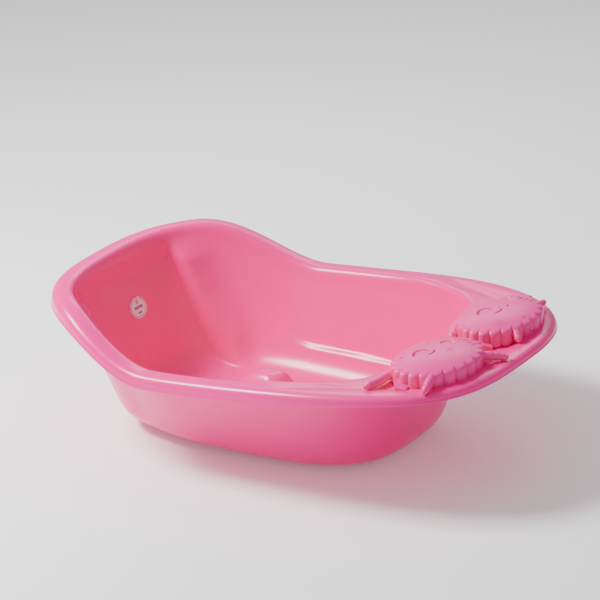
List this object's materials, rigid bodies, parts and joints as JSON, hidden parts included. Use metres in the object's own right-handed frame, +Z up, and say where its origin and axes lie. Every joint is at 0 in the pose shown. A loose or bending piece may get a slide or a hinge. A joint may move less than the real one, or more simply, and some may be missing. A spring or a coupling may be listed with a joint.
{
  "type": "baby bathtub",
  "caption": "Pink one-piece baby bathtub with a raised reclining head end, rolled rim and two scalloped lift-off soap covers on the foot deck.",
  "frame": {"origin": "on the ground under the middle of the tub's outline", "axes": "+X toward the foot end, +Y to the left of a baby lying with its head at -X, +Z up"},
  "size_m": [0.8316, 0.5516, 0.245],
  "materials": {
    "tub_plastic": "glossy moulded pink",
    "cover_plastic": "satin moulded pink",
    "plug_plastic": "glossy moulded pink",
    "seal_rubber": "soft pale rubber",
    "label_film": "printed film"
  },
  "bodies": {
    "tub": {"tub_shell": "tub_plastic", "label": "label_film"},
    "cover_left": {"soap_cover_left": "cover_plastic"},
    "cover_right": {"soap_cover_right": "cover_plastic"},
    "plug": {"drain_plug": "plug_plastic", "plug_seal": "seal_rubber"}
  },
  "joints": [
    {"name": "cover_left_lift", "type": "slide", "parent": "tub", "child": "cover_left", "axis": [0, 0, 1], "range_m": [0, 0.08]},
    {"name": "cover_right_lift", "type": "slide", "parent": "tub", "child": "cover_right", "axis": [0, 0, 1], "range_m": [0, 0.08]},
    {"name": "plug_pull", "type": "slide", "parent": "tub", "child": "plug", "axis": [0, 0, 1], "range_m": [0, 0.08]}
  ]
}
